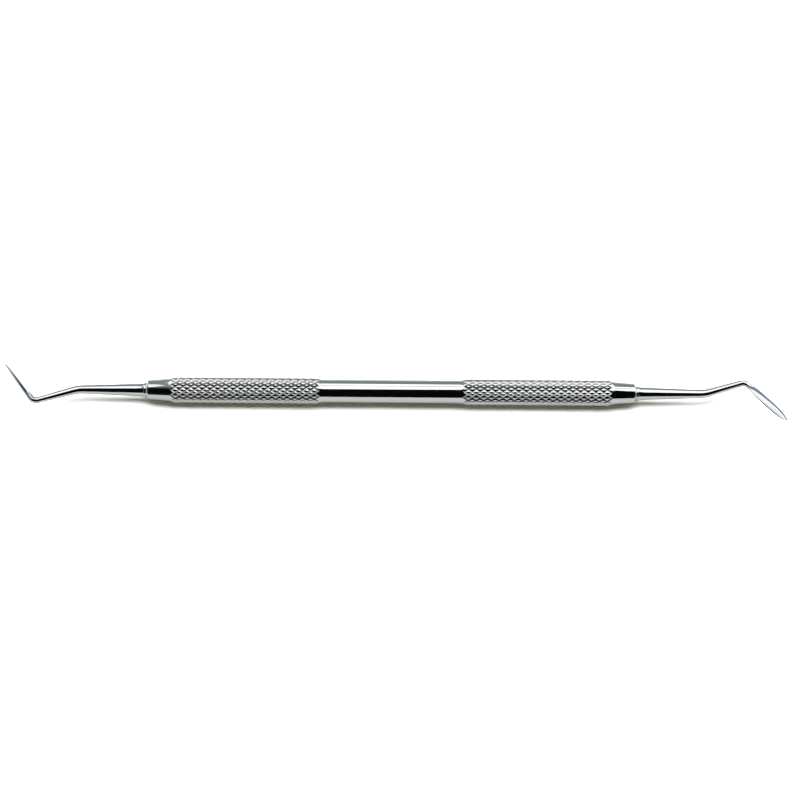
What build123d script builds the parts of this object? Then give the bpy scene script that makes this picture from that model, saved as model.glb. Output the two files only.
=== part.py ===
from build123d import *

import math
import os

# A double-ended dental hand instrument: a turned bar handle with two knurled
# grips, and two identical bent working ends that carry leaf-shaped blades.
# Millimetres. +X runs along the handle, the working ends bend in the XY plane,
# and +Z is up when the instrument lies on a table. The origin is the middle of
# the handle, on its axis. The left end is the right end turned half round Z.

# Handle. Diameters of the grips are over the crests of the knurl.
HANDLE_LENGTH = 112.0
WAIST_LENGTH = 32.0
WAIST_DIAMETER = 5.5
GRIP_DIAMETER = 6.05
GRIP_RUNOUT = 1.2  # length of the sloped run-out at each end of a grip
COLLAR_LENGTH = 5.1
COLLAR_ROOT_DIAMETER = 5.4
MOUTH_DIAMETER = 4.6
MOUTH_ROUND = 0.45
BORE_DIAMETER = 2.5
BORE_DEPTH = 12.0
DRILL_POINT_ANGLE = 118.0

# Working end. Stations are measured outward from the handle's end face.
RING_THICKNESS = 0.2
RING_DIAMETER = 3.2
TANG_LENGTH = 11.4
TANG_CHAMFER = 0.3
BEAD_WIDTH = 0.5
BEAD_DIAMETER = 3.35
BEAD_ROUND = 0.12
FLARE_LENGTH = 2.0
FLARE_DIAMETER = 3.15
SHANK_ROOT_DIAMETER = 2.85
FIRST_BEND_STATION = 16.0
FIRST_BEND_ANGLE = 19.0
FIRST_BEND_RADIUS = 8.0
FIRST_BEND_DIAMETER = 1.95
SECOND_BEND_DISTANCE = 10.3
SECOND_BEND_ANGLE = 70.5
SECOND_BEND_RADIUS = 1.6
SECOND_BEND_DIAMETER = 1.42

# Blade: a leaf with a flat land down each face and a bevel to each edge.
# Distances are measured from the corner of the second bend.
BLADE_LENGTH = 13.3
BLADE_WIDTH = 3.1
BLADE_WIDEST = 7.4  # where the leaf is widest
BLADE_START = 1.0
BLADE_START_WIDTH = 1.37
BLADE_START_THICKNESS = 1.15
BLADE_END_THICKNESS = 0.3
BEVEL_ANGLE = 40.0  # between the land and each bevel
SMALLEST_LAND = 0.02  # half width of the flat land at its narrowest
TIP_WIDTH = 0.6
SHOULDER_POWER = 0.6  # below 1 the leaf widens quickly out of the shank
POINT_POWER = 3.2  # above 1 the leaf stays wide before its point
THINNING_POWER = 1.3  # above 1 the leaf thins quickly out of the shank
NECK_LENGTH = 1.4  # cone of the shank that is buried in the blade
NECK_END_DIAMETER = 0.5
BLADE_SECTIONS = 13

MOUTH_X = HANDLE_LENGTH / 2
BLADE_ANGLE = FIRST_BEND_ANGLE - SECOND_BEND_ANGLE
SHANK_START = RING_THICKNESS + BEAD_WIDTH + FLARE_LENGTH


def handle_outline():
    """Outer radii of the right half, from the middle to the mouth."""
    waist = WAIST_DIAMETER / 2
    grip = GRIP_DIAMETER / 2
    collar = COLLAR_ROOT_DIAMETER / 2
    mouth = MOUTH_DIAMETER / 2
    grip_start = WAIST_LENGTH / 2
    grip_end = MOUTH_X - COLLAR_LENGTH
    return [
        (grip_start, waist),
        (grip_start + GRIP_RUNOUT, grip),
        (grip_end - GRIP_RUNOUT, grip),
        (grip_end, collar),
        (MOUTH_X - MOUTH_ROUND, mouth),
    ]


def bore(side):
    """Blind drilled bore with a conical bottom; side is +1 or -1."""
    radius = BORE_DIAMETER / 2
    cone = radius / math.tan(math.radians(DRILL_POINT_ANGLE / 2))
    profile = [
        (MOUTH_X, 0),
        (MOUTH_X, radius),
        (MOUTH_X - BORE_DEPTH, radius),
        (MOUTH_X - BORE_DEPTH - cone, 0),
    ]
    face = make_face(Polyline(*[(side * x, y) for x, y in profile], close=True))
    return revolve(face, axis=Axis.X)


def make_handle():
    """Solid bar: smooth waist, two grips, two tapered collars, two bores."""
    outline = handle_outline()
    mouth_edge = MOUTH_DIAMETER / 2 - MOUTH_ROUND
    right_line = Polyline(*outline)
    left_line = Polyline(*[(-x, y) for x, y in outline])
    waist_line = Line(left_line @ 0, right_line @ 0)
    profile = waist_line + right_line + left_line
    for side in (1, -1):
        rim = (side * (MOUTH_X - MOUTH_ROUND), MOUTH_DIAMETER / 2)
        face_edge = (side * MOUTH_X, mouth_edge)
        profile += RadiusArc(rim, face_edge, side * MOUTH_ROUND)
        profile += Line(face_edge, (side * MOUTH_X, 0))
    profile += Line((-MOUTH_X, 0), (MOUTH_X, 0))
    bar = revolve(make_face(profile), axis=Axis.X)
    return bar - bore(1) - bore(-1)


def make_ring():
    """Ring of braze metal between the handle's mouth and the bead."""
    place = Plane(origin=(MOUTH_X, 0, 0), z_dir=(1, 0, 0))
    ring = Circle(RING_DIAMETER / 2) - Circle(BORE_DIAMETER / 2)
    return extrude(place * ring, amount=RING_THICKNESS)


def make_tang_and_bead():
    """Tang in the bore, bead on the mouth, and the hollow flare beyond it."""
    tang = BORE_DIAMETER / 2
    bead = BEAD_DIAMETER / 2
    tang_end = MOUTH_X - TANG_LENGTH
    bead_start = MOUTH_X + RING_THICKNESS
    bead_end = bead_start + BEAD_WIDTH
    flare_end = bead_end + FLARE_LENGTH
    flare_start = (bead_end, FLARE_DIAMETER / 2)
    shank_start = (flare_end, SHANK_ROOT_DIAMETER / 2)
    outline = Polyline(
        (flare_end, 0),
        (tang_end, 0),
        (tang_end, tang - TANG_CHAMFER),
        (tang_end + TANG_CHAMFER, tang),
        (bead_start, tang),
        (bead_start, bead - BEAD_ROUND),
    )
    crown = Polyline(
        (bead_start, bead - BEAD_ROUND),
        (bead_start + BEAD_ROUND, bead),
        (bead_end - BEAD_ROUND, bead),
        flare_start,
    )
    flare = TangentArc(shank_start, flare_start, tangent=(-1, 0))
    profile = outline + crown + flare + Line(shank_start, (flare_end, 0))
    return revolve(make_face(profile), axis=Axis.X)


def direction(angle):
    """Unit vector in the XY plane, at an angle from the handle's axis."""
    return Vector(math.cos(math.radians(angle)), math.sin(math.radians(angle)))


def section_plane(origin, angle):
    """Plane across the shank or blade: its X is up, its normal runs outward."""
    return Plane(origin=origin, x_dir=(0, 0, 1), z_dir=direction(angle))


def blade_corner():
    """Corner of the second bend, where the shank's and blade's lines meet."""
    first = Vector(MOUTH_X + FIRST_BEND_STATION, 0)
    return first + direction(FIRST_BEND_ANGLE) * SECOND_BEND_DISTANCE


def taper(start, angle, length, start_diameter, end_diameter):
    """Straight round stretch, and the point where it ends."""
    base = (Align.CENTER, Align.CENTER, Align.MIN)
    cone = Cone(start_diameter / 2, end_diameter / 2, length, align=base)
    return section_plane(start, angle) * cone, start + direction(angle) * length


def bend(start, angle, turn, radius, diameter):
    """Round stretch bent through a turn, and the point where it ends."""
    side = math.copysign(1, turn)
    centre = start + direction(angle + side * 90) * radius
    section = section_plane(start, angle) * Circle(diameter / 2)
    arc = revolve(section, axis=Axis(centre, (0, 0, side)), revolution_arc=abs(turn))
    return arc, centre - direction(angle + turn + side * 90) * radius


def make_shank():
    """Round tapering shank through both bends, ending inside the blade."""
    cut_1 = FIRST_BEND_RADIUS * math.tan(math.radians(FIRST_BEND_ANGLE / 2))
    cut_2 = SECOND_BEND_RADIUS * math.tan(math.radians(SECOND_BEND_ANGLE / 2))
    root_length = FIRST_BEND_STATION - SHANK_START - cut_1
    middle_length = SECOND_BEND_DISTANCE - cut_1 - cut_2
    point = Vector(MOUTH_X + SHANK_START, 0)
    root, point = taper(point, 0, root_length, SHANK_ROOT_DIAMETER, FIRST_BEND_DIAMETER)
    bend_1, point = bend(point, 0, FIRST_BEND_ANGLE, FIRST_BEND_RADIUS, FIRST_BEND_DIAMETER)
    middle, point = taper(
        point, FIRST_BEND_ANGLE, middle_length, FIRST_BEND_DIAMETER, SECOND_BEND_DIAMETER
    )
    bend_2, point = bend(
        point, FIRST_BEND_ANGLE, -SECOND_BEND_ANGLE, SECOND_BEND_RADIUS, SECOND_BEND_DIAMETER
    )
    neck, _ = taper(point, BLADE_ANGLE, NECK_LENGTH, SECOND_BEND_DIAMETER, NECK_END_DIAMETER)
    return root + bend_1 + middle + bend_2 + neck


def blade_width(distance):
    """Full width of the leaf: a soft shoulder, then a rounded run to the tip."""
    if distance < BLADE_WIDEST:
        share = (distance - BLADE_START) / (BLADE_WIDEST - BLADE_START)
        rise = math.sin(share ** SHOULDER_POWER * math.pi / 2)
        return BLADE_START_WIDTH + (BLADE_WIDTH - BLADE_START_WIDTH) * rise
    share = (distance - BLADE_WIDEST) / (BLADE_LENGTH - BLADE_WIDEST)
    return TIP_WIDTH + (BLADE_WIDTH - TIP_WIDTH) * (1 - share ** POINT_POWER)


def blade_thickness(distance):
    """Thickness of the leaf: quick thinning out of the shank, then a taper."""
    share = (distance - BLADE_START) / (BLADE_LENGTH - BLADE_START)
    drop = (1 - share) ** THINNING_POWER
    return BLADE_END_THICKNESS + (BLADE_START_THICKNESS - BLADE_END_THICKNESS) * drop


def make_blade():
    """Leaf-shaped blade, its width upright, lofted through six-sided sections."""
    corner = blade_corner()
    sections = []
    for i in range(BLADE_SECTIONS):
        share = math.sin(i / (BLADE_SECTIONS - 1) * math.pi / 2)
        distance = BLADE_START + (BLADE_LENGTH - BLADE_START) * share
        half = blade_width(distance) / 2
        rise = blade_thickness(distance) / 2
        land = max(SMALLEST_LAND, half - rise / math.tan(math.radians(BEVEL_ANGLE)))
        corners = [
            (half, 0),
            (land, rise),
            (-land, rise),
            (-half, 0),
            (-land, -rise),
            (land, -rise),
        ]
        place = section_plane(corner + direction(BLADE_ANGLE) * distance, BLADE_ANGLE)
        sections.append(place * make_face(Polyline(*corners, close=True)))
    return loft(sections)


def make_working_end():
    """One forged piece: tang, bead, flare, bent shank and blade."""
    return make_tang_and_bead() + make_shank() + make_blade()


def turned_to_left(piece):
    """The same piece at the other end of the handle, half a turn round Z."""
    return piece.rotate(Axis.Z, 180)


def write(node, solid):
    solid.label = node
    export_step(solid, f"parts/{node}.step")
    box = solid.bounding_box()
    print(node, "volume", round(solid.volume, 2), "from", box.min, "to", box.max)


os.makedirs("parts", exist_ok=True)
working_end = make_working_end()
ring = make_ring()
write("handle", make_handle())
write("right_working_end", working_end)
write("left_working_end", turned_to_left(working_end))
write("right_braze_ring", ring)
write("left_braze_ring", turned_to_left(ring))
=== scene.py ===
import math

import bpy
import numpy as np
from mathutils import Matrix, Vector


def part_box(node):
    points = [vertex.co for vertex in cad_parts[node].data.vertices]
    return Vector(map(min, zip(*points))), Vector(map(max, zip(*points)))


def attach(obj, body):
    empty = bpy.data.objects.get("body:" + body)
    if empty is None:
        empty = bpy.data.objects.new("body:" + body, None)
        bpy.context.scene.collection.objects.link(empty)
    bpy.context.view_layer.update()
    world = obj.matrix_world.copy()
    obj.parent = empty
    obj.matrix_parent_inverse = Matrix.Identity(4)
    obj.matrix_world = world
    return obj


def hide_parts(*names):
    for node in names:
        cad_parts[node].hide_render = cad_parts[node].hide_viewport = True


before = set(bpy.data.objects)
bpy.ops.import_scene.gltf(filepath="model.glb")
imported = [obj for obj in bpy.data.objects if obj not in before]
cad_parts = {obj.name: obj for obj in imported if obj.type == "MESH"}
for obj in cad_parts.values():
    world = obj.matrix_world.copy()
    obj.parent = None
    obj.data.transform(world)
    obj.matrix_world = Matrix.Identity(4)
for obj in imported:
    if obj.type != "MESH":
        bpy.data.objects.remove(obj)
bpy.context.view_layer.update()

MM = 0.001

# ---------------------------------------------------------------- dimensions
# Places and radii that the frame gives, in metres.
HANDLE_LOW, HANDLE_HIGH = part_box("handle")
RING_LOW, RING_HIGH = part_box("right_braze_ring")
MOUTH_X = HANDLE_HIGH.x
GRIP_RADIUS = HANDLE_HIGH.z
RING_RADIUS = RING_HIGH.z
RING_END = RING_HIGH.x - MOUTH_X
FLOOR_Z = HANDLE_LOW.z

# Handle, as in the CAD source.
WAIST_HALF = 16.0 * MM
WAIST_RADIUS = 2.75 * MM
GRIP_RUNOUT = 1.2 * MM
COLLAR_LENGTH = 5.1 * MM
COLLAR_ROOT_RADIUS = 2.7 * MM
MOUTH_RADIUS = 2.3 * MM
MOUTH_ROUND = 0.45 * MM
BORE_RADIUS = 1.25 * MM
BORE_DEPTH = 12.0 * MM
DRILL_HALF_ANGLE = math.radians(59)

# Knurl: diamonds around the grip, their length, and the groove's shape.
DIAMONDS_AROUND = 14
DIAMOND_LENGTH = 1.76 * MM
STEPS_PER_DIAMOND = 12
GROOVE_DEPTH = 0.20 * MM
FLANK_POWER = 1.6  # above 1 the diamonds are pillowed and the grooves sharp
KNURL_PHASE = -0.22  # turn of the lattice, in diamonds
RIM_STEPS = 8

# Braze ring: its hollow outer face and its unevenness, as shares.
RING_STEPS = 8
RING_DIP = 0.12
RING_UNEVEN = 0.006

# Working end, as in the CAD source. Stations run outward from the mouth.
TANG_LENGTH = 11.4 * MM
TANG_CHAMFER = 0.3 * MM
BEAD_WIDTH = 0.5 * MM
BEAD_RADIUS = 1.675 * MM
BEAD_ROUND = 0.12 * MM
FLARE_LENGTH = 2.0 * MM
FLARE_RADIUS = 1.575 * MM
SHANK_ROOT_RADIUS = 1.425 * MM
FIRST_BEND_STATION = 16.0 * MM
FIRST_BEND_ANGLE = math.radians(19)
FIRST_BEND_RADIUS = 8.0 * MM
FIRST_BEND_SHANK = 0.975 * MM
SECOND_BEND_DISTANCE = 10.3 * MM
SECOND_BEND_ANGLE = math.radians(70.5)
SECOND_BEND_RADIUS = 1.6 * MM
SECOND_BEND_SHANK = 0.71 * MM

# Blade. Distances are measured from the corner of the second bend.
BLADE_LENGTH = 13.3 * MM
BLADE_HALF_WIDTH = 1.55 * MM
BLADE_WIDEST = 7.4 * MM
BLADE_START = 1.0 * MM
BLADE_START_HALF_WIDTH = 0.685 * MM
BLADE_START_HALF_THICKNESS = 0.575 * MM
BLADE_END_HALF_THICKNESS = 0.15 * MM
BEVEL_ANGLE = math.radians(40)
SMALLEST_LAND = 0.02 * MM
TIP_HALF_WIDTH = 0.3 * MM
SHOULDER_POWER = 0.6
POINT_POWER = 3.2
THINNING_POWER = 1.3
FLAT_START = 1.1 * MM  # the round shank starts to turn into the blade
FLAT_END = 3.4 * MM  # and has its full six-sided section here
LAND_CROWN = 0.03  # how far the land bulges, as a share of its half thickness

# How finely the working end is divided, round it and along it.
AROUND_SHANK = 48
BEVEL_STEPS = AROUND_SHANK // 8
BEAD_STEPS = 3
BEAD_LAST_ANGLE = 0.3  # where the bead's outer edge meets the flare, in radians
FLARE_STEPS = 10
SHANK_STEP = 0.8 * MM
FIRST_BEND_STEP = 0.25 * MM
SECOND_BEND_STEP = 0.1 * MM
BLADE_STEP = 0.2 * MM

# Painted dark reflection of the shaded floor on the blades: full on the lower bevels, thinner on the outer
# face.
PAINTED_DARK_FIRST = 16  # of the points from the upper edge round to the lower one
OUTER_PAINTED_DARK = 0.85  # on the rest of the face on the outer side of the bend
SHARP_ANGLE = math.radians(32)


# ---------------------------------------------------------------- mesh tools
def ring_faces(rings, around):
    """Quads between neighbouring rings of points."""
    faces = []
    for i in range(rings - 1):
        for j in range(around):
            k = (j + 1) % around
            near, far = i * around, (i + 1) * around
            faces.append((near + j, near + k, far + k, far + j))
    return faces


def cap_faces(first, around, centre, at_start):
    """Fan of triangles that closes the first or the last of the rings."""
    faces = []
    for j in range(around):
        k = (j + 1) % around
        faces.append((first + k, first + j, centre) if at_start else (first + j, first + k, centre))
    return faces


def mesh_object(name, points, faces):
    """Object with smooth faces that keeps its sharp edges."""
    mesh = bpy.data.meshes.new(name)
    mesh.from_pydata(points, [], faces)
    mesh.validate()
    mesh.update()
    piece = bpy.data.objects.new(name, mesh)
    bpy.context.scene.collection.objects.link(piece)
    mesh.shade_smooth()
    mesh.set_sharp_from_angle(angle=SHARP_ANGLE)
    return piece


def add_values(piece, name, values):
    """Stores one value for each point, for the materials to read."""
    attribute = piece.data.attributes.new(name, "FLOAT", "POINT")
    attribute.data.foreach_set("value", np.array(values, np.float32))


def arc_points(centre, radius, start, end, steps):
    """Points on an arc in the plane of a profile, both ends included."""
    angles = [start + (end - start) * i / steps for i in range(steps + 1)]
    return [(centre[0] + radius * math.cos(a), centre[1] + radius * math.sin(a)) for a in angles]


# ---------------------------------------------------------------- handle
def groove_depth(phase):
    """0 on a crest and 1 on the floor of a groove, over one pitch."""
    from_crest = np.abs(phase - np.round(phase))
    return (2 * from_crest) ** FLANK_POWER


def grip_envelope(distance):
    """Radius of the turned blank, by distance from the waist's end."""
    length = MOUTH_X - COLLAR_LENGTH - WAIST_HALF
    from_waist = WAIST_RADIUS + (GRIP_RADIUS - WAIST_RADIUS) * distance / GRIP_RUNOUT
    to_collar = COLLAR_ROOT_RADIUS + (GRIP_RADIUS - COLLAR_ROOT_RADIUS) * (length - distance) / GRIP_RUNOUT
    return np.minimum(GRIP_RADIUS, np.minimum(from_waist, to_collar))


def groove_floor(distance):
    """Deepest radius a groove reaches: it shallows out at both ends of a grip."""
    length = MOUTH_X - COLLAR_LENGTH - WAIST_HALF
    full = GRIP_RADIUS - GROOVE_DEPTH
    from_waist = min(1, distance / GRIP_RUNOUT)
    to_collar = min(1, (length - distance) / GRIP_RUNOUT)
    return max(
        WAIST_RADIUS + (full - WAIST_RADIUS) * from_waist,
        COLLAR_ROOT_RADIUS + (full - COLLAR_ROOT_RADIUS) * to_collar,
    )


def grip_stations():
    """Distances along a grip: lattice rows about its middle, and its two ends."""
    length = MOUTH_X - COLLAR_LENGTH - WAIST_HALF
    step = DIAMOND_LENGTH / STEPS_PER_DIAMOND
    half_rows = int(length / 2 / step - 0.5)
    rows = [length / 2 + i * step for i in range(-half_rows, half_rows + 1)]
    return [0.0] + rows + [length]


def collar_profile():
    """Collar, rounded mouth, end face and bore, from the grip outward and in."""
    round_centre = (MOUTH_X - MOUTH_ROUND, MOUTH_RADIUS - MOUTH_ROUND)
    rim = arc_points(round_centre, MOUTH_ROUND, math.pi / 2, 0, RIM_STEPS)
    drill_point = BORE_RADIUS / math.tan(DRILL_HALF_ANGLE)
    bore_end = MOUTH_X - BORE_DEPTH
    bore = [(MOUTH_X, BORE_RADIUS), (bore_end, BORE_RADIUS)]
    return rim + bore, bore_end - drill_point


def make_handle():
    """Turned bar with two knurled grips cut into it as real diamonds."""
    around = DIAMONDS_AROUND * STEPS_PER_DIAMOND
    turn = np.arange(around) / around
    angles = 2 * math.pi * (turn + KNURL_PHASE / DIAMONDS_AROUND)
    grip_length = MOUTH_X - COLLAR_LENGTH - WAIST_HALF
    right = []
    for distance in grip_stations():
        row = (distance - grip_length / 2) / DIAMOND_LENGTH
        column = turn * DIAMONDS_AROUND
        depth = np.maximum(groove_depth(row + column), groove_depth(row - column))
        knurl = np.maximum(GRIP_RADIUS - GROOVE_DEPTH * depth, groove_floor(distance))
        blank = grip_envelope(distance)
        radii = np.minimum(knurl, blank)
        # share of the groove's depth, which darkens the colour deeper in the grooves
        groove_share = np.clip((GRIP_RADIUS - radii) / GROOVE_DEPTH, 0, 1) * (knurl <= blank)
        right.append((WAIST_HALF + distance, radii, groove_share))
    profile, apex = collar_profile()
    plain = np.ones(around)
    right += [(x, radius * plain, 0 * plain) for x, radius in profile]
    rings = [(-x, radii, groove_share) for x, radii, groove_share in reversed(right)] + right
    points = []
    grooves = []
    for x, radii, groove_share in rings:
        points += [(x, r * math.cos(a), r * math.sin(a)) for r, a in zip(radii, angles)]
        grooves += list(groove_share)
    points += [(-apex, 0, 0), (apex, 0, 0)]
    grooves += [0, 0]
    faces = knurl_faces(rings, around)
    faces += cap_faces(0, around, len(points) - 2, True)
    faces += cap_faces((len(rings) - 1) * around, around, len(points) - 1, False)
    piece = mesh_object("knurled_handle", points, faces)
    add_values(piece, "groove", grooves)
    return piece


def knurl_faces(rings, around):
    """Quads on smooth stretches; on a grip, triangles split along the grooves."""
    faces = []
    for i in range(len(rings) - 1):
        low, high = rings[i], rings[i + 1]
        cut = low[2].any() or high[2].any()
        for j in range(around):
            k = (j + 1) % around
            a, b = i * around + j, i * around + k
            c, d = (i + 1) * around + k, (i + 1) * around + j
            if not cut:
                faces.append((a, b, c, d))
            elif abs(low[1][j] - high[1][k]) < abs(low[1][k] - high[1][j]):
                faces += [(a, b, c), (a, c, d)]
            else:
                faces += [(a, b, d), (b, c, d)]
    return faces


# ---------------------------------------------------------------- braze rings
def uneven_share(a):
    """Share of the ring's radius at an angle: it never stands proud."""
    return 1 - RING_UNEVEN * (1 + math.sin(3 * a + 1) * math.sin(7 * a))


def make_ring(name):
    """Braze seam: a thin ring with a hollow, slightly uneven outer face."""
    profile = [(MOUTH_X, BORE_RADIUS)]
    for i in range(RING_STEPS + 1):
        share = i / RING_STEPS
        dip = RING_DIP * RING_END * math.sin(math.pi * share)
        profile.append((MOUTH_X + RING_END * share, RING_RADIUS - dip))
    profile.append((MOUTH_X + RING_END, BORE_RADIUS))
    points = []
    for x, radius in profile:
        for j in range(AROUND_SHANK):
            a = 2 * math.pi * j / AROUND_SHANK
            uneven = 1 if radius == BORE_RADIUS else uneven_share(a)
            points.append((x, radius * uneven * math.cos(a), radius * uneven * math.sin(a)))
    faces = ring_faces(len(profile), AROUND_SHANK)
    last = (len(profile) - 1) * AROUND_SHANK
    for j in range(AROUND_SHANK):
        k = (j + 1) % AROUND_SHANK
        faces.append((j, last + j, last + k, k))
    return mesh_object(name, points, faces)


# ---------------------------------------------------------------- working ends
CUT_1 = FIRST_BEND_RADIUS * math.tan(FIRST_BEND_ANGLE / 2)
CUT_2 = SECOND_BEND_RADIUS * math.tan(SECOND_BEND_ANGLE / 2)
BEND_1_START = FIRST_BEND_STATION - CUT_1
BEND_1_END = BEND_1_START + FIRST_BEND_RADIUS * FIRST_BEND_ANGLE
BEND_2_START = BEND_1_END + SECOND_BEND_DISTANCE - CUT_1 - CUT_2
BEND_2_END = BEND_2_START + SECOND_BEND_RADIUS * SECOND_BEND_ANGLE
BLADE_TIP = BEND_2_END + BLADE_LENGTH - CUT_2


def heading(angle):
    """Unit vector at an angle in the plane of the bends."""
    return Vector((math.cos(angle), math.sin(angle), 0))


def round_bend(start, angle, turn, radius, length):
    """Point and heading after a length of arc; a negative turn goes clockwise."""
    side = math.copysign(1, turn)
    centre = start + heading(angle + side * math.pi / 2) * radius
    new_angle = angle + side * length / radius
    return centre - heading(new_angle + side * math.pi / 2) * radius, new_angle


def centreline(station):
    """Point and heading of the working end's centreline at a station."""
    point, angle = Vector((MOUTH_X, 0, 0)), 0.0
    if station <= BEND_1_START:
        return point + heading(angle) * station, angle
    point = point + heading(angle) * BEND_1_START
    arc = min(station, BEND_1_END) - BEND_1_START
    point, angle = round_bend(point, angle, FIRST_BEND_ANGLE, FIRST_BEND_RADIUS, arc)
    if station <= BEND_1_END:
        return point, angle
    run = min(station, BEND_2_START) - BEND_1_END
    point = point + heading(angle) * run
    if station <= BEND_2_START:
        return point, angle
    arc = min(station, BEND_2_END) - BEND_2_START
    point, angle = round_bend(point, angle, -SECOND_BEND_ANGLE, SECOND_BEND_RADIUS, arc)
    return point + heading(angle) * max(0, station - BEND_2_END), angle


def spaced(start, end, step):
    """Even stations from start to end, without the start."""
    count = max(1, round((end - start) / step))
    return [start + (end - start) * (i + 1) / count for i in range(count)]


def end_profile():
    """Stations and radii of the round part: tang, bead, flare and shank."""
    tang_end = -TANG_LENGTH
    bead_end = RING_END + BEAD_WIDTH
    flare_end = bead_end + FLARE_LENGTH
    crown = BEAD_RADIUS - BEAD_ROUND
    rows = [
        (tang_end, BORE_RADIUS - TANG_CHAMFER),
        (tang_end + TANG_CHAMFER, BORE_RADIUS),
        (RING_END, BORE_RADIUS),
    ]
    near = (RING_END + BEAD_ROUND, crown)
    far = (bead_end - BEAD_ROUND, crown)
    rows += arc_points(near, BEAD_ROUND, math.pi, math.pi / 2, BEAD_STEPS)
    rows += arc_points(far, BEAD_ROUND, math.pi / 2, BEAD_LAST_ANGLE, BEAD_STEPS)
    for i in range(1, FLARE_STEPS + 1):
        share = i / FLARE_STEPS
        drop = (FLARE_RADIUS - SHANK_ROOT_RADIUS) * (1 - share) ** 2
        rows.append((bead_end + FLARE_LENGTH * share, SHANK_ROOT_RADIUS + drop))
    middle_1 = (BEND_1_START + BEND_1_END) / 2
    middle_2 = (BEND_2_START + BEND_2_END) / 2
    tapers = [
        (flare_end, SHANK_ROOT_RADIUS),
        (middle_1, FIRST_BEND_SHANK),
        (middle_2, SECOND_BEND_SHANK),
    ]
    stations = spaced(flare_end, BEND_1_START, SHANK_STEP)
    stations += spaced(BEND_1_START, BEND_1_END, FIRST_BEND_STEP)
    stations += spaced(BEND_1_END, BEND_2_START, SHANK_STEP)
    stations += spaced(BEND_2_START, BEND_2_END, SECOND_BEND_STEP)
    places = [p for p, _ in tapers]
    radii = [r for _, r in tapers]
    return rows + [(s, float(np.interp(s, places, radii))) for s in stations]


def blade_half_width(distance):
    """Leaf outline: a full shoulder up to the widest place, then a blunt point."""
    if distance < BLADE_WIDEST:
        share = max(0, (distance - BLADE_START) / (BLADE_WIDEST - BLADE_START))
        rise = math.sin(share ** SHOULDER_POWER * math.pi / 2)
        return BLADE_START_HALF_WIDTH + (BLADE_HALF_WIDTH - BLADE_START_HALF_WIDTH) * rise
    share = (distance - BLADE_WIDEST) / (BLADE_LENGTH - BLADE_WIDEST)
    return TIP_HALF_WIDTH + (BLADE_HALF_WIDTH - TIP_HALF_WIDTH) * (1 - share ** POINT_POWER)


def blade_half_thickness(distance):
    """Half thickness of the blade, which thins toward its tip."""
    share = max(0, (distance - BLADE_START) / (BLADE_LENGTH - BLADE_START))
    drop = (1 - share) ** THINNING_POWER
    return BLADE_END_HALF_THICKNESS + (BLADE_START_HALF_THICKNESS - BLADE_END_HALF_THICKNESS) * drop


def six_sided(half, rise):
    """Half the blade's outline, edge to edge: bevel, crowned land, bevel."""
    land = max(SMALLEST_LAND, half - rise / math.tan(BEVEL_ANGLE))
    upper = [(half + (land - half) * i / BEVEL_STEPS, rise * i / BEVEL_STEPS) for i in range(BEVEL_STEPS)]
    flat = []
    for i in range(2 * BEVEL_STEPS + 1):
        across = 1 - i / BEVEL_STEPS
        flat.append((land * across, rise * (1 + LAND_CROWN * (1 - across * across))))
    lower = [(-z, n) for z, n in reversed(upper)]
    return upper + flat + lower


def blade_section(distance):
    """Points round the section: width upright (z), thickness sideways (n)."""
    half = blade_half_width(distance)
    rise = blade_half_thickness(distance)
    side = six_sided(half, rise)
    outline = side + [(-z, -n) for z, n in side[1:-1]]
    share = (distance - FLAT_START) / (FLAT_END - FLAT_START)
    share = min(1, max(0, share))
    blend = share * share * (3 - 2 * share)
    section = []
    for i, (z, n) in enumerate(outline):
        a = 2 * math.pi * i / AROUND_SHANK
        round_z = SECOND_BEND_SHANK * math.cos(a)
        round_n = SECOND_BEND_SHANK * math.sin(a)
        section.append((round_z + (z - round_z) * blend, round_n + (n - round_n) * blend))
    return section, blend


def painted_dark_share(index):
    """Painted dark reflection on one point of a blade section, from 0 to 1."""
    around = min(index, AROUND_SHANK - index)
    if around >= PAINTED_DARK_FIRST:
        return 1.0
    return OUTER_PAINTED_DARK if 0 < index < AROUND_SHANK // 2 else 0.0


def make_working_end(name):
    """One forged piece: tang, bead, flare, bent shank and bevelled blade."""
    points = []
    painted_highlight = []
    painted_dark = []
    rows = 0
    for station, radius in end_profile():
        middle, angle = centreline(station)
        across = heading(angle + math.pi / 2)
        painted_highlight += [0.0] * AROUND_SHANK
        painted_dark += [0.0] * AROUND_SHANK
        for j in range(AROUND_SHANK):
            a = 2 * math.pi * j / AROUND_SHANK
            points.append(middle + across * radius * math.sin(a) + Vector((0, 0, radius * math.cos(a))))
        rows += 1
    for station in spaced(BEND_2_END, BLADE_TIP, BLADE_STEP):
        middle, angle = centreline(station)
        across = heading(angle + math.pi / 2)
        section, blend = blade_section(station - BEND_2_END + CUT_2)
        for i, (z, n) in enumerate(section):
            points.append(middle + across * n + Vector((0, 0, z)))
            # painted highlight, growing as the round shank turns into the flat blade
            painted_highlight.append(blend)
            # painted dark reflection, full on the lower bevels
            painted_dark.append(painted_dark_share(i) * blend)
        rows += 1
    start, _ = centreline(-TANG_LENGTH)
    tip, _ = centreline(BLADE_TIP)
    points += [start, tip]
    painted_highlight += [0.0, 1.0]
    painted_dark += [0.0, 0.0]
    # The sections run the other way round from the handle's, so all faces turn over.
    faces = [tuple(reversed(f)) for f in ring_faces(rows, AROUND_SHANK)]
    faces += cap_faces(0, AROUND_SHANK, len(points) - 2, False)
    faces += cap_faces((rows - 1) * AROUND_SHANK, AROUND_SHANK, len(points) - 1, True)
    piece = mesh_object(name, [tuple(p) for p in points], faces)
    add_values(piece, "painted_highlight", painted_highlight)
    add_values(piece, "painted_dark", painted_dark)
    return piece


def turn_to_left(piece):
    """Moves a right-hand piece's mesh to the left end, half a turn round Z."""
    piece.data.transform(Matrix.Rotation(math.pi, 4, "Z"))
    piece.data.update()
    return piece


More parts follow.
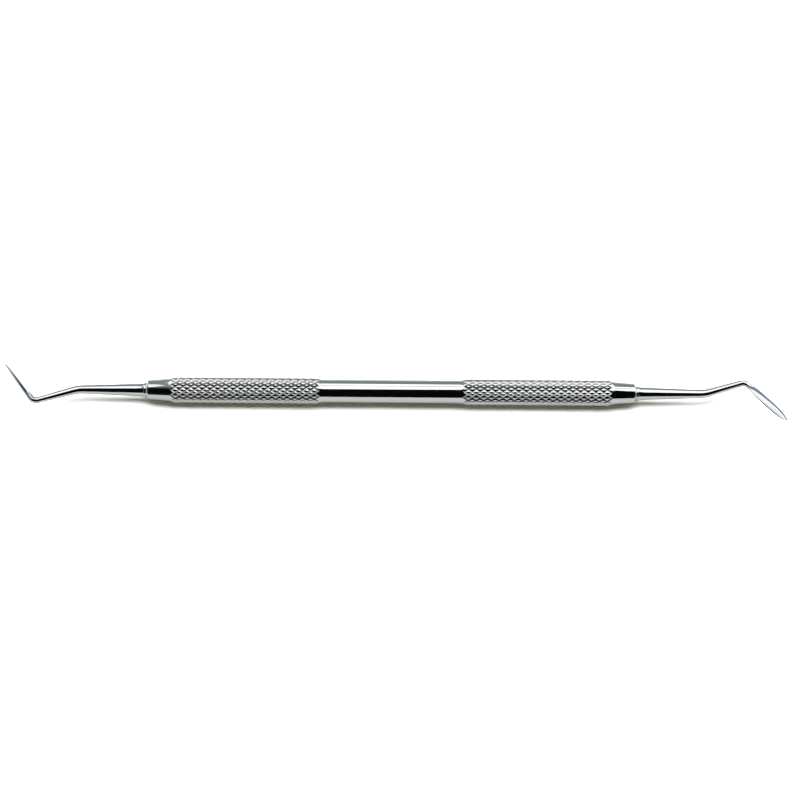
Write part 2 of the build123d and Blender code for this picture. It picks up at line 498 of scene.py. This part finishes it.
# ---------------------------------------------------------------- materials
BAR_STEEL = (0.50, 0.51, 0.51)
# Darker colour deeper in the knurl's grooves.
DEEP_GROOVE_COLOUR = (0.36, 0.36, 0.35)
BLADE_STEEL = (0.50, 0.51, 0.52)
# Painted highlight: a near-white base that makes the blade's faces mirror white.
PAINTED_BLADE_HIGHLIGHT = (0.97, 0.98, 1.00)
# Painted shade: a near-black base on the blades' lower bevels, standing in for the shaded floor they
# mirror.
PAINTED_DARK_REFLECTION = (0.06, 0.07, 0.08)
SILVER_BRAZE = (0.80, 0.78, 0.73)
PAPER_IN_STEEL = (0.37, 0.37, 0.37)
PAPER_SEEN = (0.92, 0.92, 0.92)

# Noise scales, per metre, and heights of the surface detail.
PATCH_SCALE = 420
WAVE_SCALE = 260
GRAIN_SCALE = 9000
LINE_HEIGHT = 0.004 * MM
GRAIN_HEIGHT = 0.01 * MM

# Sockets of a colour Mix node.
MIX_A, MIX_B, MIX_COLOUR = 6, 7, 2


def new_material(name):
    """Empty material with its node tree at hand."""
    material = bpy.data.materials.new(name)
    material.use_nodes = True
    nodes = material.node_tree.nodes
    return material, nodes, material.node_tree.links, nodes["Principled BSDF"]


def noise(nodes, links, stretch, scale, detail):
    """Noise over object coordinates, stretched along the axes."""
    place = nodes.new("ShaderNodeTexCoord")
    mapping = nodes.new("ShaderNodeMapping")
    mapping.inputs["Scale"].default_value = stretch
    links.new(place.outputs["Object"], mapping.inputs["Vector"])
    texture = nodes.new("ShaderNodeTexNoise")
    texture.inputs["Scale"].default_value = scale
    texture.inputs["Detail"].default_value = detail
    links.new(mapping.outputs["Vector"], texture.inputs["Vector"])
    return texture.outputs["Fac"]


def ranged(nodes, links, value, low, high, from_low=0.3, from_high=0.7):
    """Maps a texture's middle range to the range that a socket needs."""
    node = nodes.new("ShaderNodeMapRange")
    node.inputs["From Min"].default_value = from_low
    node.inputs["From Max"].default_value = from_high
    node.inputs["To Min"].default_value = low
    node.inputs["To Max"].default_value = high
    links.new(value, node.inputs["Value"])
    return node.outputs["Result"]


def bump(nodes, links, heights, strength, distance):
    """Chain of bumps from several height maps."""
    normal = None
    for height in heights:
        node = nodes.new("ShaderNodeBump")
        node.inputs["Strength"].default_value = strength
        node.inputs["Distance"].default_value = distance
        links.new(height, node.inputs["Height"])
        if normal is not None:
            links.new(normal, node.inputs["Normal"])
        normal = node.outputs["Normal"]
    return normal


def steel(name, colour, smooth, dull, line_stretch, line_strength):
    """Polished stainless steel: faint lines, soft waviness, uneven polish."""
    material, nodes, links, shader = new_material(name)
    shader.inputs["Metallic"].default_value = 1.0
    shader.inputs["Base Color"].default_value = (*colour, 1)
    patches = noise(nodes, links, (1, 1, 1), PATCH_SCALE, 3)
    links.new(ranged(nodes, links, patches, smooth, dull), shader.inputs["Roughness"])
    lines = noise(nodes, links, line_stretch, 1, 4)
    waves = noise(nodes, links, (1, 1, 1), WAVE_SCALE, 2)
    normal = bump(nodes, links, [lines, waves], line_strength, LINE_HEIGHT)
    links.new(normal, shader.inputs["Normal"])
    return material, nodes, links, shader


def colour_mix(nodes, links, share, base, colour):
    """Mixes a colour over the base, which is a colour or another node's socket."""
    mix = nodes.new("ShaderNodeMix")
    mix.data_type = "RGBA"
    if isinstance(base, tuple):
        mix.inputs[MIX_A].default_value = (*base, 1)
    else:
        links.new(base, mix.inputs[MIX_A])
    mix.inputs[MIX_B].default_value = (*colour, 1)
    links.new(share, mix.inputs["Factor"])
    return mix.outputs[MIX_COLOUR]


def tint(nodes, links, base, colour, name, power):
    """Mixes a colour over the base where the mesh's named value is high."""
    value = nodes.new("ShaderNodeAttribute")
    value.attribute_name = name
    share = nodes.new("ShaderNodeMath")
    share.operation = "POWER"
    share.inputs[1].default_value = power
    links.new(value.outputs["Fac"], share.inputs[0])
    return colour_mix(nodes, links, share.outputs[0], base, colour)


def handle_material():
    """Bar steel with turning lines round it, and a darker colour deeper in the knurl's grooves."""
    material, nodes, links, shader = steel(
        "polished_bar_steel", BAR_STEEL, 0.05, 0.11, (9000, 500, 500), 0.25
    )
    colour = tint(nodes, links, BAR_STEEL, DEEP_GROOVE_COLOUR, "groove", 2.5)
    links.new(colour, shader.inputs["Base Color"])
    return material


def blade_material():
    """Blade steel, brightened by a painted highlight where the round shank turns into the blade, and
    darkened by a painted dark reflection at its edges.
    """
    material, nodes, links, shader = steel(
        "polished_blade_steel", BLADE_STEEL, 0.05, 0.12, (700, 700, 9000), 0.2
    )
    # painted highlight over the blade
    colour = tint(nodes, links, BLADE_STEEL, PAINTED_BLADE_HIGHLIGHT, "painted_highlight", 1.0)
    # painted dark reflection at the blade's edges
    colour = tint(nodes, links, colour, PAINTED_DARK_REFLECTION, "painted_dark", 1.0)
    links.new(colour, shader.inputs["Base Color"])
    return material


def braze_material():
    """Silver braze: paler, warmer and duller than the steel."""
    material, nodes, links, shader = new_material("silver_braze")
    shader.inputs["Metallic"].default_value = 1.0
    shader.inputs["Base Color"].default_value = (*SILVER_BRAZE, 1)
    grain = noise(nodes, links, (1, 1, 1), GRAIN_SCALE, 3)
    links.new(ranged(nodes, links, grain, 0.28, 0.42), shader.inputs["Roughness"])
    links.new(bump(nodes, links, [grain], 0.3, GRAIN_HEIGHT), shader.inputs["Normal"])
    return material


def floor_material():
    """Plain white paper, over-exposed to the camera but not in the steel."""
    material, nodes, links, shader = new_material("white_paper")
    seen = nodes.new("ShaderNodeLightPath")
    paper = colour_mix(nodes, links, seen.outputs["Is Camera Ray"], PAPER_IN_STEEL, PAPER_SEEN)
    links.new(paper, shader.inputs["Base Color"])
    shader.inputs["Roughness"].default_value = 0.9
    shader.inputs["Specular IOR Level"].default_value = 0.0
    return material


# ---------------------------------------------------------------- studio
CAMERA_ELEVATION = math.radians(56.5)
CAMERA_DISTANCE = 0.325
CAMERA_HALF_VIEW = math.radians(15.8)
CAMERA_ROLL = math.radians(0.43)
AIM_RIGHT = 2.0 * MM
AIM_DOWN = 1.9 * MM
FLOOR_SIZE = 6.0

# Oval softbox above and behind, a little to the right.
SOFTBOX_ELEVATION = math.radians(106)  # up from the front
SOFTBOX_DISTANCE = 0.85
SOFTBOX_RADIUS = 0.46
SOFTBOX_STRETCH = 1.2  # its width, as a share of its height
SOFTBOX_RIGHT = 0.09
SOFTBOX_RADIANCE = 2.4  # as the steel mirrors it
SOFTBOX_POWER = 11.0  # radiance of the lamp inside it, which lights the floor
SEAM_START = 0.033  # the dark seam across its cloth, from the middle to the back
SEAM_END = 0.115
CLOTH_BEHIND = 1.01  # the cloth hangs just behind the lamp, as a share of its distance
CHORD_STEPS = 24

# White walls to each side, which only tilted faces such as the knurl's mirror.
WALL_RADIANCE = 2.0
WALL_SIDE = 0.55
WALL_BACK = 0.85
WALL_LOW = 0.10
WALL_HIGH = 0.80
RIGHT_WALL_FRONT = -0.10
LEFT_WALL_FRONT = 0.30

# Weak warm fill from the front.
FILL_RADIANCE = 0.5
FILL_COLOUR = (1.0, 1.0, 0.42)
FILL_PLACE = Vector((0, -0.9, 0.5))
FILL_WIDTH = 1.6
FILL_HEIGHT = 0.8

# The room: dark in front, grey behind, bluish at the far left, white to the camera.
BACK_DIRECTION = (-0.3, 0.95, 0.0)
DARK_ROOM = (0.004, 0.004, 0.005)
GREY_BACKDROP = (0.36, 0.42, 0.42)
BLUE_LEFT = (0.20, 0.24, 0.32)
WHITE_SEEN = (0.95, 0.95, 0.95)
DARK_UP_TO = 0.42  # half of one plus the cosine from the back direction
GREY_FROM = 0.60
LEFT_STARTS = -0.70
LEFT_FULL = -0.85


def make_camera():
    """Camera at the front, looking down on the instrument from above it."""
    forward = Vector((0, math.cos(CAMERA_ELEVATION), -math.sin(CAMERA_ELEVATION)))
    down = Vector((0, -math.sin(CAMERA_ELEVATION), -math.cos(CAMERA_ELEVATION)))
    target = Vector((AIM_RIGHT, 0, 0)) + down * AIM_DOWN
    data = bpy.data.cameras.new("camera")
    data.lens = data.sensor_width / 2 / math.tan(CAMERA_HALF_VIEW)
    data.clip_start = 0.01
    camera = bpy.data.objects.new("camera", data)
    camera.location = target - forward * CAMERA_DISTANCE
    look = forward.to_track_quat("-Z", "Y").to_matrix().to_4x4()
    camera.rotation_euler = (look @ Matrix.Rotation(CAMERA_ROLL, 4, "Z")).to_euler()
    bpy.context.scene.collection.objects.link(camera)
    bpy.context.scene.camera = camera


def softbox_place(distance):
    """Middle of the softbox and the turn that faces it to the object."""
    toward = Vector((0, -math.cos(SOFTBOX_ELEVATION), math.sin(SOFTBOX_ELEVATION)))
    right = Vector((1, 0, 0))
    turn = Matrix((right, toward.cross(right), toward)).transposed()
    return toward * distance + right * SOFTBOX_RIGHT, turn


def make_softbox_lamp():
    """Lamp of the softbox: it lights the floor, and the steel doesn't mirror it."""
    middle, turn = softbox_place(SOFTBOX_DISTANCE)
    data = bpy.data.lights.new("softbox_lamp", "AREA")
    data.shape = "ELLIPSE"
    data.size = 2 * SOFTBOX_RADIUS * SOFTBOX_STRETCH
    data.size_y = 2 * SOFTBOX_RADIUS
    data.energy = SOFTBOX_POWER * math.pi * math.pi * SOFTBOX_RADIUS**2 * SOFTBOX_STRETCH
    lamp = bpy.data.objects.new("softbox_lamp", data)
    lamp.location = middle
    lamp.rotation_euler = turn.to_euler()
    lamp.visible_glossy = False
    bpy.context.scene.collection.objects.link(lamp)


def glow_material(name, radiance):
    """Plain emitter for what only the steel mirrors."""
    material = bpy.data.materials.new(name)
    material.use_nodes = True
    nodes, links = material.node_tree.nodes, material.node_tree.links
    nodes.clear()
    glow = nodes.new("ShaderNodeEmission")
    glow.inputs["Strength"].default_value = radiance
    output = nodes.new("ShaderNodeOutputMaterial")
    links.new(glow.outputs["Emission"], output.inputs["Surface"])
    return material


def cloth_panel(low, high):
    """Outline of the part of the oval softbox between two chords."""
    outline = []
    for side in (1, -1):
        ends = (low, high) if side > 0 else (high, low)
        start, end = [math.asin(v / SOFTBOX_RADIUS) for v in ends]
        for i in range(CHORD_STEPS + 1):
            a = start + (end - start) * i / CHORD_STEPS
            across = side * SOFTBOX_RADIUS * SOFTBOX_STRETCH * math.cos(a)
            outline.append((across, SOFTBOX_RADIUS * math.sin(a)))
    return outline


def make_softbox_cloth():
    """Cloth of the softbox in two panels: the steel mirrors it, seam and all."""
    middle, turn = softbox_place(SOFTBOX_DISTANCE * CLOTH_BEHIND)
    points = []
    faces = []
    for low, high in ((-SOFTBOX_RADIUS, SEAM_START), (SEAM_END, SOFTBOX_RADIUS)):
        outline = cloth_panel(low, high)
        first = len(points)
        points += [tuple(middle + turn @ Vector((u, v, 0))) for u, v in outline]
        faces.append(tuple(reversed(range(first, len(points)))))
    cloth = mesh_object("softbox_cloth", points, faces)
    cloth.data.materials.append(glow_material("softbox_cloth", SOFTBOX_RADIANCE))
    cloth.visible_diffuse = False
    cloth.visible_camera = False


def make_wall(name, side, front):
    """White wall that the steel mirrors and the floor doesn't feel."""
    corners = [
        (side, front, WALL_LOW),
        (side, WALL_BACK, WALL_LOW),
        (side, WALL_BACK, WALL_HIGH),
        (side, front, WALL_HIGH),
    ]
    wall = mesh_object(name, corners, [(0, 1, 2, 3)])
    wall.data.materials.append(glow_material(name, WALL_RADIANCE))
    wall.visible_diffuse = False
    wall.visible_camera = False


def make_fill():
    """Fill light, which warms the shadows and which the steel doesn't mirror."""
    data = bpy.data.lights.new("fill", "AREA")
    data.shape = "RECTANGLE"
    data.size = FILL_WIDTH
    data.size_y = FILL_HEIGHT
    data.energy = FILL_RADIANCE * math.pi * FILL_WIDTH * FILL_HEIGHT
    data.color = FILL_COLOUR
    light = bpy.data.objects.new("fill", data)
    light.location = FILL_PLACE
    light.rotation_euler = FILL_PLACE.to_track_quat("Z", "Y").to_euler()
    light.visible_glossy = False
    bpy.context.scene.collection.objects.link(light)


def make_floor():
    """Sheet of white paper that the instrument lies on."""
    half = FLOOR_SIZE / 2
    corners = [
        (-half, -half, FLOOR_Z),
        (half, -half, FLOOR_Z),
        (half, half, FLOOR_Z),
        (-half, half, FLOOR_Z),
    ]
    floor = mesh_object("floor", corners, [(0, 1, 2, 3)])
    floor.data.materials.append(floor_material())


def backdrop(nodes, links, direction):
    """Colour of the room by direction: dark in front, grey behind."""
    along = nodes.new("ShaderNodeVectorMath")
    along.operation = "DOT_PRODUCT"
    along.inputs[1].default_value = BACK_DIRECTION
    links.new(direction, along.inputs[0])
    half = nodes.new("ShaderNodeMapRange")
    half.inputs["From Min"].default_value = -1
    links.new(along.outputs["Value"], half.inputs["Value"])
    ramp = nodes.new("ShaderNodeValToRGB")
    dark, grey = ramp.color_ramp.elements
    dark.position = DARK_UP_TO
    dark.color = (*DARK_ROOM, 1)
    grey.position = GREY_FROM
    grey.color = (*GREY_BACKDROP, 1)
    links.new(half.outputs["Result"], ramp.inputs["Fac"])
    return ramp.outputs["Color"]


def far_left(nodes, links, direction):
    """Share of the bluish left side in what a direction sees."""
    sides = nodes.new("ShaderNodeSeparateXYZ")
    links.new(direction, sides.inputs["Vector"])
    left = nodes.new("ShaderNodeMapRange")
    left.inputs["From Min"].default_value = LEFT_STARTS
    left.inputs["From Max"].default_value = LEFT_FULL
    links.new(sides.outputs["X"], left.inputs["Value"])
    return left.outputs["Result"]


def make_world():
    """Room round the set, as the steel mirrors it."""
    world = bpy.data.worlds.new("studio")
    bpy.context.scene.world = world
    world.use_nodes = True
    nodes, links = world.node_tree.nodes, world.node_tree.links
    direction = nodes.new("ShaderNodeTexCoord").outputs["Generated"]
    seen = nodes.new("ShaderNodeLightPath")
    room = backdrop(nodes, links, direction)
    room = colour_mix(nodes, links, far_left(nodes, links, direction), room, BLUE_LEFT)
    room = colour_mix(nodes, links, seen.outputs["Is Camera Ray"], room, WHITE_SEEN)
    links.new(room, nodes["Background"].inputs["Color"])


# ---------------------------------------------------------------- assembly
def place(piece, node, slot_name, material):
    """Puts a finished piece in the CAD node's place."""
    piece.data.materials.append(material)
    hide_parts(node)
    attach(piece, "root")


make_camera()
place(make_handle(), "handle", "handle_steel", handle_material())
blade_steel = blade_material()
braze = braze_material()
place(make_working_end("right_forged_end"), "right_working_end", "blade_steel", blade_steel)
place(turn_to_left(make_working_end("left_forged_end")), "left_working_end", "blade_steel", blade_steel)
place(make_ring("right_braze_seam"), "right_braze_ring", "braze_metal", braze)
place(turn_to_left(make_ring("left_braze_seam")), "left_braze_ring", "braze_metal", braze)
make_floor()
make_world()
make_softbox_lamp()
make_softbox_cloth()
make_wall("right_wall", WALL_SIDE, RIGHT_WALL_FRONT)
make_wall("left_wall", -WALL_SIDE, LEFT_WALL_FRONT)
make_fill()
bpy.context.scene.view_settings.view_transform = "Standard"
